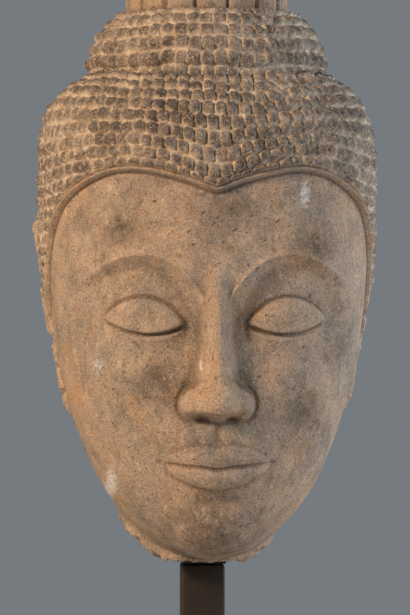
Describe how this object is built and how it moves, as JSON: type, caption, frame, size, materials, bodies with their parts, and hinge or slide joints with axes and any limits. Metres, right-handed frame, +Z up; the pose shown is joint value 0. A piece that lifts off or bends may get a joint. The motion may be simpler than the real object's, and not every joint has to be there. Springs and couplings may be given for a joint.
{
  "type": "stone head on stand",
  "caption": "Weathered sandstone buddha head with rows of snail curls and a topknot, broken off at the neck and held up by a square steel post on a flat base plate.",
  "frame": {"origin": "centre of the underside of the base plate, on the axis of the post", "axes": "+Z up along the post, the face looks along -Y, +X to the viewer's right"},
  "size_m": [0.25, 0.2623, 0.6149],
  "materials": {
    "sandstone": null,
    "pad": "thin dark matt pad",
    "steel": "dark brown patinated steel, satin"
  },
  "bodies": {
    "root": {"head": "sandstone", "neck_pad": "pad", "post": "steel", "base_plate": "steel"}
  },
  "joints": []
}
